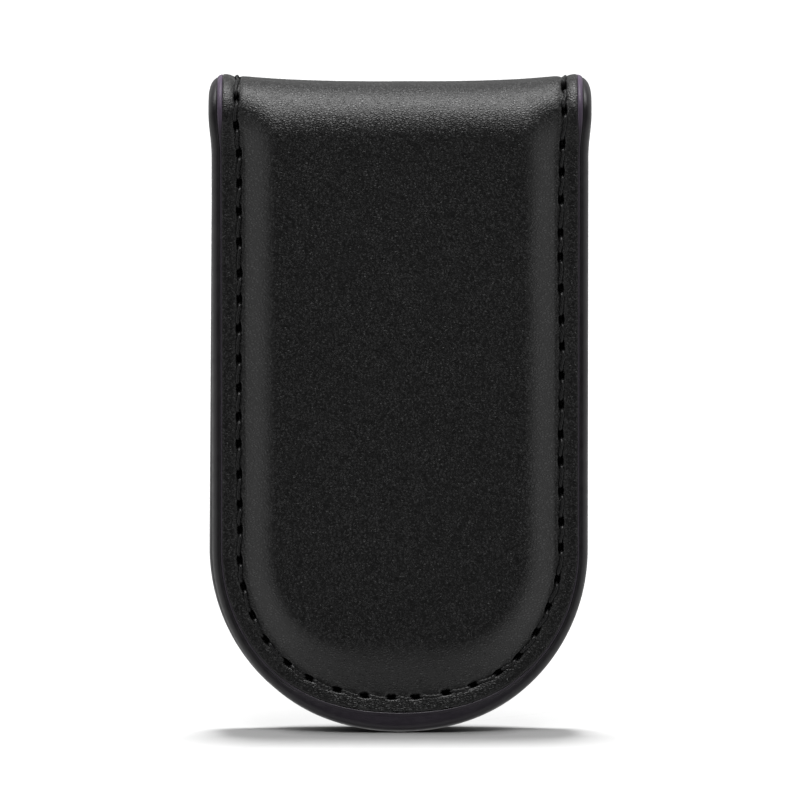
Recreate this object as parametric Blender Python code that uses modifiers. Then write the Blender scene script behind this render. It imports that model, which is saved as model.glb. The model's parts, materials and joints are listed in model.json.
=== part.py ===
"""Magnetic money clip: a lined leather strap folded over at the top.

Two leaves hang from the fold and end in a half round. Each leaf is an outer leather
and a lining sewn together round the rim, with a board and two disc magnets between
them. The fold is two short lengths of strap between three bending lines.

Metres, +Z up. X is the strap's width, the front leaf faces -Y and the fold is on top.
The origin is at the middle of the clip, level with its lowest point.
"""

import math

import bmesh
import bpy
from mathutils import Vector

MM = 0.001

# Driving dimensions of the strap
STRAP_WIDTH = 44.5 * MM
LEAF_LENGTH = 73.35 * MM            # from the fold's centre line to the tip, laid flat
LEAF_SPACE = 1.0 * MM               # between the two linings when closed
LINING_THICKNESS = 1.0 * MM
LEATHER_THICKNESS = 1.3 * MM
GLUE_GAP = 0.3 * MM                 # clearance between pieces that touch
FOLD_SPREAD = 0.6 * MM              # how much further apart each leaf is at the fold
SPREAD_LENGTH = 5.0 * MM
FOLD_FLARE = 0.35 * MM              # extra half width where the fold squeezes the strap
EAR_LIFT = 0.7 * MM                 # how far the fold's ends rise above its middle
TIP_FLAT = 0.6 * MM                 # how much the half round is flattened at its end

# The lips curl outwards at the tip of each leaf
CURL_LENGTH = 7.6 * MM
CURL_RADIUS = 36.0 * MM

# The raised pad over the insert
PAD_HEIGHT = 4.9 * MM               # from the middle of the clip to the pad's flat
PAD_CREST_LENGTH = 6.5 * MM         # from the top of the fold to where the flat begins
RAMP_START = 4.1 * MM               # inset where the pad begins to rise
SIDE_RAMP = 4.0 * MM
TIP_RAMP = 6.0 * MM
RAMP_STEPS = (0.3, 0.65, 1.0)

# Seam and edge
SEAM_INSET = 3.26 * MM
GROOVE_HALF_WIDTH = 0.7 * MM
GROOVE_DEPTH = 0.55 * MM
LINING_GROOVE_DEPTH = 0.45 * MM
THREAD_RADIUS = 0.22 * MM
COAT_THICKNESS = 0.45 * MM
COAT_GAP = 0.2 * MM

# Insert
BOARD_THICKNESS = 1.5 * MM
BOARD_INSET = 7.7 * MM
BOARD_TIP_INSET = 10.3 * MM
BOARD_TOP_DEPTH = 4.0 * MM
BOARD_CORNER = 2.0 * MM
MAGNET_RADIUS = 6.0 * MM
MAGNET_HEIGHTS = {"upper": 55.0 * MM, "lower": 27.0 * MM}

# The fold's three bending lines, as angles over the fold from the front leaf
BEND_ANGLES = (30.0, 90.0, 150.0)
LEATHER_CLEARANCE = 14.0            # degrees of fold left free beside a bending line
LINING_CLEARANCE = 6.0
THREAD_CLEARANCE = 17.0

TIP_STEPS = 24
FOLD_STEPS = 5

HALF_WIDTH = STRAP_WIDTH / 2.0
TIP_CENTRE_DEPTH = LEAF_LENGTH + TIP_FLAT - HALF_WIDTH
CURL_DEPTH = LEAF_LENGTH - CURL_LENGTH
LINING_INNER = LEAF_SPACE / 2.0
LINING_OUTER = LINING_INNER + LINING_THICKNESS
LEATHER_INNER = LINING_OUTER + GLUE_GAP
LEATHER_OUTER = LEATHER_INNER + LEATHER_THICKNESS
FOLD_RADIUS = LEATHER_OUTER + FOLD_SPREAD
BEND_RADIUS = LINING_OUTER + FOLD_SPREAD + GLUE_GAP / 2.0
EDGE_INSET = COAT_THICKNESS + COAT_GAP

FINISHES = {
    "outer_leather": ((0.012, 0.012, 0.013, 1.0), 0.42, 0.0),
    "lining_leather": ((0.020, 0.019, 0.020, 1.0), 0.60, 0.0),
    "thread": ((0.030, 0.030, 0.031, 1.0), 0.55, 0.0),
    "edge_coat": ((0.024, 0.018, 0.026, 1.0), 0.35, 0.0),
    "insert_board": ((0.28, 0.20, 0.13, 1.0), 0.80, 0.0),
    "magnet": ((0.62, 0.62, 0.60, 1.0), 0.25, 1.0),
}


def smooth(value):
    """Ease a value between 0 and 1 so that it starts and ends level."""
    value = min(max(value, 0.0), 1.0)
    return value * value * (3.0 - 2.0 * value)


# ---------------------------------------------------------------- strap geometry

def spread(depth):
    """Extra distance of a leaf from the middle plane, at a depth below the fold."""
    return FOLD_SPREAD * (1.0 - smooth(depth / SPREAD_LENGTH))


def crest(depth, turn):
    """Height of the pad's crest over the middle plane: an ellipse quarter, then flat."""
    if turn > 0.0:
        start = crest(0.0, 0.0)
        share = min(turn / math.radians(BEND_ANGLES[0]), 1.0)
        return start + (FOLD_RADIUS - start) * share
    above_flat = PAD_CREST_LENGTH - FOLD_RADIUS - depth
    if above_flat <= 0.0:
        return PAD_HEIGHT
    return PAD_HEIGHT * math.sqrt(1.0 - (above_flat / PAD_CREST_LENGTH) ** 2)


def leaf_place(depth, turn, height):
    """Distance from the middle plane and height over the fold's centre line.

    A positive turn is an angle up and over the fold. Otherwise the depth runs down
    the leaf and, below the curl's start, round the curl about its own centre.
    """
    if turn > 0.0:
        return height * math.cos(turn), height * math.sin(turn)
    if depth <= CURL_DEPTH:
        return height, -depth
    middle = (LINING_INNER + LEATHER_OUTER) / 2.0
    angle = (depth - CURL_DEPTH) / CURL_RADIUS
    reach = CURL_RADIUS + middle - height
    out = CURL_RADIUS + middle - reach * math.cos(angle)
    return out, -CURL_DEPTH - reach * math.sin(angle)


def coat_section():
    """Rounded section of the edge coat, as inset and height pairs for a flat leaf."""
    low = LINING_INNER
    high = LEATHER_OUTER
    return (
        (COAT_THICKNESS, low),
        (0.4 * COAT_THICKNESS, low + 0.25 * MM),
        (0.0, low + 0.85 * MM),
        (0.0, high - 0.85 * MM),
        (0.4 * COAT_THICKNESS, high - 0.25 * MM),
        (COAT_THICKNESS, high),
    )


FOLD_HEIGHT = -min(leaf_place(LEAF_LENGTH - inset, 0.0, height)[1]
                   for inset, height in coat_section())


def strap_point(side, x, depth, turn, height, lift=0.0):
    """World point of the strap: side is -1 for the front leaf and +1 for the back."""
    out, up = leaf_place(depth, turn, height)
    flare = FOLD_FLARE * (1.0 - smooth(depth / SPREAD_LENGTH))
    ear = lift * (abs(x) / HALF_WIDTH) ** 4 * math.sin(turn) ** 2
    return Vector((x * (1.0 + flare / HALF_WIDTH), side * out, FOLD_HEIGHT + up + ear))


def rim_stations(top_turn):
    """Stations down the left side, round the tip and up the right side.

    Each one is (tip angle or None, side of the strap, depth, turn).
    """
    turns = (top_turn, 0.5 * top_turn)
    depths = (0.0, 1.4 * MM, 2.8 * MM, 4.2 * MM, 5.6 * MM, 28.0 * MM, TIP_CENTRE_DEPTH)
    down = [(None, -1.0, 0.0, turn) for turn in turns]
    down += [(None, -1.0, depth, 0.0) for depth in depths]
    around = [(math.pi * step / TIP_STEPS, 0.0, 0.0, 0.0) for step in range(1, TIP_STEPS)]
    up = [(None, 1.0, depth, turn) for _, _, depth, turn in reversed(down)]
    return down + around + up


def on_rim(station, inset):
    """X, depth and turn of a point at an inset from the strap's edge."""
    tip_angle, side_sign, depth, turn = station
    reach = HALF_WIDTH - inset
    if tip_angle is None:
        return side_sign * reach, depth, turn
    down = reach * math.sin(tip_angle) - TIP_FLAT * math.sin(tip_angle) ** 8
    return -reach * math.cos(tip_angle), TIP_CENTRE_DEPTH + down, 0.0


def ramp_width(station):
    """Width of the pad's slope: narrow along the sides, wide at the tip."""
    tip_angle = station[0]
    if tip_angle is None:
        return SIDE_RAMP
    return SIDE_RAMP + (TIP_RAMP - SIDE_RAMP) * math.sin(tip_angle) ** 2


# ---------------------------------------------------------------- mesh helpers

def closed_shell(name, upper, lower, faces, finish):
    """Close two matching sheets into one solid with walls along their free edges."""
    mesh = bmesh.new()
    top = [mesh.verts.new(point) for point in upper]
    bottom = [mesh.verts.new(point) for point in lower]
    uses = {}
    for face in faces:
        mesh.faces.new([top[index] for index in face])
        mesh.faces.new([bottom[index] for index in reversed(face)])
        for start, end in zip(face, face[1:] + face[:1]):
            key = (min(start, end), max(start, end))
            uses.setdefault(key, []).append((start, end))
    for edges in uses.values():
        if len(edges) == 1:
            start, end = edges[0]
            mesh.faces.new((top[end], top[start], bottom[start], bottom[end]))
    return finish_mesh(name, mesh, finish)


def finish_mesh(name, mesh, finish):
    """Turn a bmesh into a named object with its faces pointing out."""
    bmesh.ops.recalc_face_normals(mesh, faces=mesh.faces)
    data = bpy.data.meshes.new(name)
    mesh.to_mesh(data)
    mesh.free()
    item = bpy.data.objects.new(name, data)
    data.materials.append(materials[finish])
    clip.objects.link(item)
    return item


def lofted_bar(name, sections, finish):
    """Join closed sections of equal size into one bar with flat ends."""
    mesh = bmesh.new()
    rings = [[mesh.verts.new(point) for point in section] for section in sections]
    count = len(rings[0])
    for ring, after in zip(rings, rings[1:]):
        for index in range(count):
            follow = (index + 1) % count
            mesh.faces.new((ring[index], ring[follow], after[follow], after[index]))
    mesh.faces.new(list(reversed(rings[0])))
    mesh.faces.new(rings[-1])
    return finish_mesh(name, mesh, finish)


def thread_tube(name, points):
    """A sewing thread as a thin tube through points."""
    curve = bpy.data.curves.new(name, "CURVE")
    curve.dimensions = "3D"
    curve.bevel_depth = THREAD_RADIUS
    curve.bevel_resolution = 1
    curve.use_fill_caps = True
    spline = curve.splines.new("POLY")
    spline.points.add(len(points) - 1)
    for place, point in zip(spline.points, points):
        place.co = (*point, 1.0)
    item = bpy.data.objects.new(name, curve)
    curve.materials.append(materials["thread"])
    clip.objects.link(item)
    return item


def panel_faces(rim_count, column_count):
    """Faces of a sheet whose columns follow the rim, with its middle closed."""
    def index(station, column):
        return station * column_count + column

    last = column_count - 1
    faces = []
    for station in range(rim_count - 1):
        for column in range(last):
            faces.append([index(station, column), index(station + 1, column),
                          index(station + 1, column + 1), index(station, column + 1)])
    side_count = (rim_count - TIP_STEPS + 1) // 2
    for station in range(side_count - 1):
        mirrored = rim_count - 1 - station
        faces.append([index(station, last), index(station + 1, last),
                      index(mirrored - 1, last), index(mirrored, last)])
    tip = range(side_count - 1, rim_count - side_count + 1)
    faces.append([index(station, last) for station in tip])
    return faces


# ---------------------------------------------------------------- leaf pieces

def outer_leather(leaf, side):
    """The grained leather of one leaf, formed over the insert."""
    stations = rim_stations(math.radians(BEND_ANGLES[0] - LEATHER_CLEARANCE))
    upper = []
    lower = []
    for station in stations:
        seam_columns = (
            (EDGE_INSET, 0.0, 0.0),
            (SEAM_INSET - GROOVE_HALF_WIDTH, 0.0, 0.0),
            (SEAM_INSET, 0.0, GROOVE_DEPTH),
            (SEAM_INSET + GROOVE_HALF_WIDTH, 0.0, 0.0),
        )
        ramp_columns = tuple((RAMP_START + step * ramp_width(station), smooth(step), 0.0)
                             for step in RAMP_STEPS)
        for inset, rise, groove in seam_columns + ramp_columns:
            x, depth, turn = on_rim(station, inset)
            margin = LEATHER_OUTER + spread(depth)
            height = margin + (crest(depth, turn) - margin) * rise
            upper.append(strap_point(side, x, depth, turn, height - groove))
            lower.append(strap_point(side, x, depth, turn, height - LEATHER_THICKNESS))
    faces = panel_faces(len(stations), 4 + len(RAMP_STEPS))
    return closed_shell(leaf + "_outer_leather", upper, lower, faces, "outer_leather")


def lining(leaf, side):
    """The smooth leather on the inside of one leaf."""
    stations = rim_stations(math.radians(BEND_ANGLES[0] - LINING_CLEARANCE))
    columns = (
        (EDGE_INSET, 0.0),
        (SEAM_INSET - GROOVE_HALF_WIDTH, 0.0),
        (SEAM_INSET, LINING_GROOVE_DEPTH),
        (SEAM_INSET + GROOVE_HALF_WIDTH, 0.0),
        (6.0 * MM, 0.0),
        (9.0 * MM, 0.0),
    )
    upper = []
    lower = []
    for station in stations:
        for inset, groove in columns:
            x, depth, turn = on_rim(station, inset)
            inner = LINING_INNER + spread(depth)
            upper.append(strap_point(side, x, depth, turn, inner + LINING_THICKNESS))
            lower.append(strap_point(side, x, depth, turn, inner + groove))
    faces = panel_faces(len(stations), len(columns))
    return closed_shell(leaf + "_lining", upper, lower, faces, "lining_leather")


def edge_coat(leaf, side):
    """The coat that closes the raw edges of both leathers round one leaf."""
    stations = rim_stations(math.radians(BEND_ANGLES[0] - LEATHER_CLEARANCE))
    sections = []
    for station in stations:
        section = []
        for inset, height in coat_section():
            x, depth, turn = on_rim(station, inset)
            section.append(strap_point(side, x, depth, turn, height + spread(depth)))
        sections.append(section)
    return lofted_bar(leaf + "_edge_coat", sections, "edge_coat")


def leaf_thread(leaf, side, kind, seam_height, clearance):
    """One thread of the seam round a leaf, lying in its groove."""
    points = []
    for station in rim_stations(math.radians(BEND_ANGLES[0] - clearance)):
        x, depth, turn = on_rim(station, SEAM_INSET)
        points.append(strap_point(side, x, depth, turn, seam_height + spread(depth)))
    return thread_tube(leaf + "_" + kind + "_thread", points)


def board_outline():
    """Points round the insert board: square at the top, a wide round at the tip."""
    half = HALF_WIDTH - BOARD_INSET
    top = FOLD_HEIGHT - BOARD_TOP_DEPTH
    tip_centre = FOLD_HEIGHT - TIP_CENTRE_DEPTH
    tip_reach = HALF_WIDTH - BOARD_TIP_INSET
    outline = []
    for centre_x, start in ((half - BOARD_CORNER, 0.0), (BOARD_CORNER - half, 90.0)):
        for step in range(5):
            angle = math.radians(start + 22.5 * step)
            outline.append((centre_x + BOARD_CORNER * math.cos(angle),
                            top - BOARD_CORNER + BOARD_CORNER * math.sin(angle)))
    for step in range(25):
        angle = math.radians(180.0 + 7.5 * step)
        outline.append((half * math.cos(angle), tip_centre + tip_reach * math.sin(angle)))
    return outline


def circle_points(centre_z, radius, count):
    """Points round a circle on the leaf's middle line."""
    return [(radius * math.cos(2.0 * math.pi * step / count),
             centre_z + radius * math.sin(2.0 * math.pi * step / count))
            for step in range(count)]


def insert_board(leaf, side):
    """The stiff board under the pad, punched for its two magnets."""
    name = leaf + "_insert_board"
    curve = bpy.data.curves.new(name, "CURVE")
    curve.dimensions = "2D"
    curve.fill_mode = "BOTH"
    curve.extrude = BOARD_THICKNESS / 2.0
    holes = [circle_points(height, MAGNET_RADIUS + GLUE_GAP, 32)
             for height in MAGNET_HEIGHTS.values()]
    for outline in [board_outline()] + holes:
        spline = curve.splines.new("POLY")
        spline.points.add(len(outline) - 1)
        spline.use_cyclic_u = True
        for place, (x, z) in zip(spline.points, outline):
            place.co = (x, z, 0.0, 1.0)
    item = bpy.data.objects.new(name, curve)
    item.rotation_euler = (math.radians(90.0), 0.0, 0.0)
    item.location = (0.0, side * insert_distance(), 0.0)
    curve.materials.append(materials["insert_board"])
    clip.objects.link(item)
    return item


def insert_distance():
    """Distance of the insert's middle from the middle of the clip."""
    return LEATHER_INNER + BOARD_THICKNESS / 2.0


def magnet(leaf, side, place, height):
    """A plated disc magnet in its hole in the board."""
    bpy.ops.mesh.primitive_cylinder_add(
        vertices=32, radius=MAGNET_RADIUS, depth=BOARD_THICKNESS,
        location=(0.0, side * insert_distance(), height),
        rotation=(math.radians(90.0), 0.0, 0.0))
    item = bpy.context.active_object
    item.name = leaf + "_" + place + "_magnet"
    item.data.name = item.name
    chamfer = item.modifiers.new("chamfer", "BEVEL")
    chamfer.width = 0.2 * MM
    chamfer.segments = 1
    chamfer.limit_method = "ANGLE"
    item.data.materials.append(materials["magnet"])
    for collection in item.users_collection:
        collection.objects.unlink(item)
    clip.objects.link(item)
    return item


def leaf_pieces(leaf, side):
    """Everything that one leaf is made of."""
    pieces = [outer_leather(leaf, side), lining(leaf, side), edge_coat(leaf, side)]
    pieces.append(leaf_thread(leaf, side, "needle", LEATHER_OUTER, LEATHER_CLEARANCE))
    pieces.append(leaf_thread(leaf, side, "bobbin", LINING_INNER, LINING_CLEARANCE))
    pieces.append(insert_board(leaf, side))
    for place, height in MAGNET_HEIGHTS.items():
        pieces.append(magnet(leaf, side, place, height))
    return pieces


# ---------------------------------------------------------------- fold pieces

def fold_point(x, angle, height, lift=0.0):
    """World point over the fold, with the angle measured from the front leaf."""
    side = -1.0 if angle <= 90.0 else 1.0
    turn = math.radians(min(angle, 180.0 - angle))
    return strap_point(side, x, 0.0, turn, height, lift)


def fold_angles(first, last, clearance):
    """Evenly spaced angles between two bending lines."""
    start = first + clearance
    span = last - first - 2.0 * clearance
    return [start + span * step / FOLD_STEPS for step in range(FOLD_STEPS + 1)]


def fold_columns():
    """X and groove share across the fold: edge, groove, crown and back again."""
    right = [
        (5.0 * MM, 0.0),
        (12.0 * MM, 0.0),
        (HALF_WIDTH - SEAM_INSET - GROOVE_HALF_WIDTH, 0.0),
        (HALF_WIDTH - SEAM_INSET, 1.0),
        (HALF_WIDTH - SEAM_INSET + GROOVE_HALF_WIDTH, 0.0),
        (HALF_WIDTH, 0.0),
    ]
    return [(-x, groove) for x, groove in reversed(right)] + right


def fold_sheet(name, angles, inner, outer, grooves, lift, finish):
    """A length of strap bent over the fold between two radii.

    The two grooves are the depths cut in its outer and inner faces.
    """
    columns = fold_columns()
    upper = []
    lower = []
    for angle in angles:
        for x, groove in columns:
            upper.append(fold_point(x, angle, outer - grooves[0] * groove, lift))
            lower.append(fold_point(x, angle, inner + grooves[1] * groove, lift))
    width = len(columns)
    faces = [[row * width + column, row * width + column + 1,
              (row + 1) * width + column + 1, (row + 1) * width + column]
             for row in range(len(angles) - 1) for column in range(width - 1)]
    return closed_shell(name, upper, lower, faces, finish)


def fold_pieces(name, first, last):
    """The strap between two bending lines of the fold."""
    leather = fold_sheet(name + "_leather", fold_angles(first, last, LEATHER_CLEARANCE),
                         FOLD_RADIUS - LEATHER_THICKNESS, FOLD_RADIUS,
                         (GROOVE_DEPTH, 0.0), EAR_LIFT, "outer_leather")
    inner = LINING_INNER + FOLD_SPREAD
    under = fold_sheet(name + "_lining", fold_angles(first, last, LINING_CLEARANCE),
                       inner, inner + LINING_THICKNESS,
                       (0.0, LINING_GROOVE_DEPTH), 0.0, "lining_leather")
    pieces = [leather, under]
    for label, sign in (("left", -1.0), ("right", 1.0)):
        x = sign * (HALF_WIDTH - SEAM_INSET)
        points = [fold_point(x, angle, FOLD_RADIUS, EAR_LIFT)
                  for angle in fold_angles(first, last, THREAD_CLEARANCE)]
        pieces.append(thread_tube(name + "_" + label + "_thread", points))
    return pieces


def bending_line(name, angle):
    """An empty on one of the fold's bending lines."""
    empty = bpy.data.objects.new(name, None)
    empty.empty_display_size = 5.0 * MM
    turn = math.radians(angle)
    empty.location = (0.0, -BEND_RADIUS * math.cos(turn),
                      FOLD_HEIGHT + BEND_RADIUS * math.sin(turn))
    clip.objects.link(empty)
    return empty


def hang_from(pieces, empty):
    """Parent pieces to an empty and leave them where they are."""
    bpy.context.view_layer.update()
    for piece in pieces:
        piece.parent = empty
        piece.matrix_parent_inverse = empty.matrix_world.inverted()


def make_material(name, colour, roughness, metallic):
    """A plain material with one colour."""
    material = bpy.data.materials.new(name)
    material.use_nodes = True
    shader = material.node_tree.nodes["Principled BSDF"]
    shader.inputs["Base Color"].default_value = colour
    shader.inputs["Roughness"].default_value = roughness
    shader.inputs["Metallic"].default_value = metallic
    return material


# ---------------------------------------------------------------- build

for old in list(bpy.data.objects):
    bpy.data.objects.remove(old, do_unlink=True)

clip = bpy.data.collections.new("money_clip")
bpy.context.scene.collection.children.link(clip)
materials = {name: make_material(name, *values) for name, values in FINISHES.items()}

leaf_pieces("front", -1.0)
back_leaf = leaf_pieces("back", 1.0)
fold_front = fold_pieces("fold_front", BEND_ANGLES[0], BEND_ANGLES[1])
fold_back = fold_pieces("fold_back", BEND_ANGLES[1], BEND_ANGLES[2])

front_line = bending_line("front_bend_line", BEND_ANGLES[0])
crown_line = bending_line("crown_bend_line", BEND_ANGLES[1])
back_line = bending_line("back_bend_line", BEND_ANGLES[2])
hang_from(fold_front + [crown_line], front_line)
hang_from(fold_back + [back_line], crown_line)
hang_from(back_leaf, back_line)

print("fold centre line at", round(FOLD_HEIGHT / MM, 3), "mm, top of the crown at",
      round((FOLD_HEIGHT + FOLD_RADIUS) / MM, 3), "mm")
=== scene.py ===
# %% [markdown]
# # A folded leather money clip
# The clip is one strap of grained leather, lined with thinner leather and folded over
# at the top. Two padded leaves hang from the fold and magnets inside them pull them
# together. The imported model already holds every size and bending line. This lesson
# dresses it: formed leather, a stitched seam, a painted edge and a soft studio light.

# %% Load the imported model
import json
import math

import bmesh
import bpy
import numpy as np
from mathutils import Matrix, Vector


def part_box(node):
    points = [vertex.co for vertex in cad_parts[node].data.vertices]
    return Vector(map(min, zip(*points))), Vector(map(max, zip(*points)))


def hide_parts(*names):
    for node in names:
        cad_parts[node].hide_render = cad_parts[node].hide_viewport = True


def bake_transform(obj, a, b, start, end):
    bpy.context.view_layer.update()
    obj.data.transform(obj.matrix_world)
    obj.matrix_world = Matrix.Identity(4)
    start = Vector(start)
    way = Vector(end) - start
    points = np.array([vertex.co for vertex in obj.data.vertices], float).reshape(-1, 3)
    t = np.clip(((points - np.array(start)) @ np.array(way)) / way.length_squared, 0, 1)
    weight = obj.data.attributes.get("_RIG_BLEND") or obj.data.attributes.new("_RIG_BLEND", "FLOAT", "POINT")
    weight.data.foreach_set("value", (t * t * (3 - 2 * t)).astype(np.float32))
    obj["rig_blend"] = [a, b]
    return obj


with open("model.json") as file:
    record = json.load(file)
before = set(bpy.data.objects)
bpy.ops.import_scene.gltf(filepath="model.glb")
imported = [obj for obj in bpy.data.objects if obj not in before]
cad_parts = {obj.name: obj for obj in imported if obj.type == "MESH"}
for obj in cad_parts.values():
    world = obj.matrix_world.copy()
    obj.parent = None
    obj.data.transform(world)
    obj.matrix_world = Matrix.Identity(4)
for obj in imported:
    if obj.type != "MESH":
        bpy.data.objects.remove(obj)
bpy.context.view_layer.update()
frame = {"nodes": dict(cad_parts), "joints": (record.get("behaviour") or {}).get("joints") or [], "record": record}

# %% [markdown]
# ## Where everything is
# The bending lines tell where the fold's centre is: three hinge lines lie on one
# radius, 60 degrees apart. The mounts tell how far the pads stand out. Reading them
# from the model, instead of typing them again, keeps the looks on the real part.

# %% Measures read from the model
MM = 0.001

joints = {joint["name"]: joint for joint in frame["joints"]}
mounts = {mount["name"]: mount for mount in frame["record"]["mounts"]}
crown_line = Vector(joints["crown_bend"]["pos_m"])
front_line = Vector(joints["front_bend"]["pos_m"])
FOLD_HEIGHT = 2.0 * front_line.z - crown_line.z
PAD_HEIGHT = abs(mounts["front_pad_face"]["pos_m"][1])
LINING_INNER = abs(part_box("front_lining")[1].y)
print("fold centre at", round(FOLD_HEIGHT / MM, 3), "mm, pads stand out",
      round(PAD_HEIGHT / MM, 3), "mm")

# %% Measures of the strap
FOLD_FLARE = 0.35 * MM
HALF_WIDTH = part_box("front_edge_coat")[1].x - FOLD_FLARE
LINING_THICKNESS = 1.0 * MM
LEATHER_THICKNESS = 1.3 * MM
GLUE_GAP = 0.3 * MM
LINING_OUTER = LINING_INNER + LINING_THICKNESS
LEATHER_OUTER = LINING_OUTER + GLUE_GAP + LEATHER_THICKNESS
FOLD_SPREAD = 0.6 * MM
SPREAD_LENGTH = 5.0 * MM
FOLD_RADIUS = LEATHER_OUTER + FOLD_SPREAD
LEAF_LENGTH = 73.35 * MM
TIP_FLAT = 0.6 * MM                 # how much the half round is flattened at its end
TIP_FLAT_REACH = 8.0 * MM           # nearer the tip's centre than this it fades away
TIP_CENTRE = LEAF_LENGTH + TIP_FLAT - HALF_WIDTH
CURL_START = LEAF_LENGTH - 7.6 * MM
CURL_RADIUS = 36.0 * MM
print("half width", round(HALF_WIDTH / MM, 3), "mm, fold radius",
      round(FOLD_RADIUS / MM, 3), "mm")

# %% [markdown]
# ## One coordinate along the strap
# A strap is easiest to shape flat. Every point gets a place across the strap, a run
# along it and a height off the clip's middle plane, and one function bends that flat
# pattern into the clip. Run counts down a leaf from the fold's centre line, and below
# zero it counts back over the fold, so detail drawn on the flat pattern follows the
# leather round the bend.

# %% Shape the flat strap into the clip
FOLD_ARM = 3.9 * MM                 # run per radian over the fold
CROWN_RUN = FOLD_ARM * math.pi / 2.0
EAR_LIFT = 0.84 * MM                # the fold's ends stand higher than its middle
EAR_AT = 20.2 * MM
EAR_DROP = 1.35 * MM                # the corner outside the seam droops again
EAR_ROUND = 2.2
BACK_SLIP = 0.55 * MM               # the back leaf hangs a little out of line


def ease(value):
    """Rise from 0 to 1 with a level start and end."""
    value = np.clip(value, 0.0, 1.0)
    return value * value * (3.0 - 2.0 * value)


def fold_share(run, length):
    """1 over the fold, easing to 0 within a length down the leaf."""
    return 1.0 - ease(np.maximum(run, 0.0) / length)


def spread(run):
    """How much further each leaf is from the middle plane near the fold."""
    return FOLD_SPREAD * fold_share(run, SPREAD_LENGTH)


def place(side, x, run, height):
    """World points of the strap. Side is -1 on the front leaf and +1 on the back."""
    turn = np.maximum(-run, 0.0) / FOLD_ARM
    depth = np.maximum(run, 0.0)
    crown = np.sin(turn) ** 2
    flare = FOLD_FLARE * fold_share(run, SPREAD_LENGTH)
    ear = EAR_LIFT * np.minimum(np.abs(x) / EAR_AT, 1.0) ** 3
    past = np.maximum(np.abs(x) - EAR_AT, 0.0) / (HALF_WIDTH - EAR_AT)
    middle = (LINING_INNER + LEATHER_OUTER) / 2.0
    angle = np.maximum(depth - CURL_START, 0.0) / CURL_RADIUS
    reach = CURL_RADIUS + middle - height
    out = np.where(angle > 0.0, CURL_RADIUS + middle - reach * np.cos(angle), height)
    down = np.where(angle > 0.0, CURL_START + reach * np.sin(angle), depth)
    out = out * np.cos(turn)
    up = height * np.sin(turn) - down + (ear - EAR_DROP * past ** EAR_ROUND) * crown
    slip = BACK_SLIP * np.where(side > 0.0, depth / LEAF_LENGTH, 0.0)
    points = np.broadcast_arrays(x * (1.0 + flare / HALF_WIDTH) - slip, side * out,
                                 FOLD_HEIGHT + up)
    return np.stack(points, axis=-1)


tip = place(-1.0, 0.0, LEAF_LENGTH, LINING_INNER)
print("tip of the front leaf:", np.round(tip / MM, 2), "mm")

# %% [markdown]
# ## One coordinate round the seam
# The stitches run down the left side, round the tip, up the right side, over the fold
# and round the back leaf: one closed loop. A second coordinate follows that loop, and
# an inset counts inwards from the edge. Straight sides and round tip then need no
# separate code, because the tip's angle stays at its end values along the sides.

# %% Walk round the seam's loop
SEAM_INSET = 3.26 * MM
SEAM_TIP_INSET = 0.85 * MM          # the seam cuts the corner at the tip
SEAM_REACH = HALF_WIDTH - SEAM_INSET
SIDE_RUN = CROWN_RUN + TIP_CENTRE
TIP_RUN = math.pi * SEAM_REACH
HALF_LOOP = 2.0 * SIDE_RUN + TIP_RUN
LOOP = 2.0 * HALF_LOOP


def spot(loop, inset):
    """Side, x, run and tip angle of a place on the loop at an inset from the edge."""
    loop = np.mod(loop, LOOP)
    behind = loop > HALF_LOOP
    half = np.where(behind, LOOP - loop, loop)
    angle = np.clip((half - SIDE_RUN) / SEAM_REACH, 0.0, math.pi)
    reach = HALF_WIDTH - inset
    x = -reach * np.cos(angle)
    along = np.where(half < SIDE_RUN, half, HALF_LOOP - half) - CROWN_RUN
    on_tip = (half >= SIDE_RUN) & (half <= SIDE_RUN + TIP_RUN)
    flat_share = np.minimum(reach / TIP_FLAT_REACH, 1.0) ** 2
    down = reach * np.sin(angle) - TIP_FLAT * flat_share * np.sin(angle) ** 8
    run = np.where(on_tip, TIP_CENTRE + down, along)
    return np.where(behind, 1.0, -1.0), x, run, angle


def tip_share(angle):
    """0 along the sides, rising to 1 in the middle of the tip."""
    return np.sin(angle) ** 4


def seam_inset(angle):
    """How far the seam is from the edge."""
    return SEAM_INSET + SEAM_TIP_INSET * tip_share(angle)


print("the seam is", round(LOOP / MM, 1), "mm round")

# %% [markdown]
# ## Stitch holes
# A sewing machine keeps a nearly even pitch, but the leather creeps and the needle
# wanders a little. Each hole gets a small seeded shift along and across the seam, so
# the row looks sewn instead of drawn, and the result is the same on every run.

# %% Place the stitch holes
rng = np.random.default_rng(7)
FIRST_HOLE = 0.7 * MM
PITCH = 3.45 * MM
hole_count = round(LOOP / PITCH)
hole_loop = FIRST_HOLE + LOOP * np.arange(hole_count) / hole_count
hole_loop = hole_loop + rng.normal(0.0, 0.20 * MM, hole_count)
hole_shift = np.convolve(rng.normal(0.0, 0.16 * MM, hole_count + 2), (0.3, 0.5, 0.3), "valid")
HOLE_HALF_LENGTH = 0.66 * MM
HOLE_HALF_WIDTH = 0.26 * MM
HOLE_DEPTH = 1.05 * MM
print(hole_count, "holes, pitch", round(LOOP / hole_count / MM, 2), "mm")


def nearest_hole(loop):
    """Index of the nearest stitch hole and the signed distance to it along the seam."""
    gap = np.mod(loop[..., None] - hole_loop + LOOP / 2.0, LOOP) - LOOP / 2.0
    nearest = np.argmin(np.abs(gap), axis=-1)
    return nearest, np.take_along_axis(gap, nearest[..., None], axis=-1)[..., 0]


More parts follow.
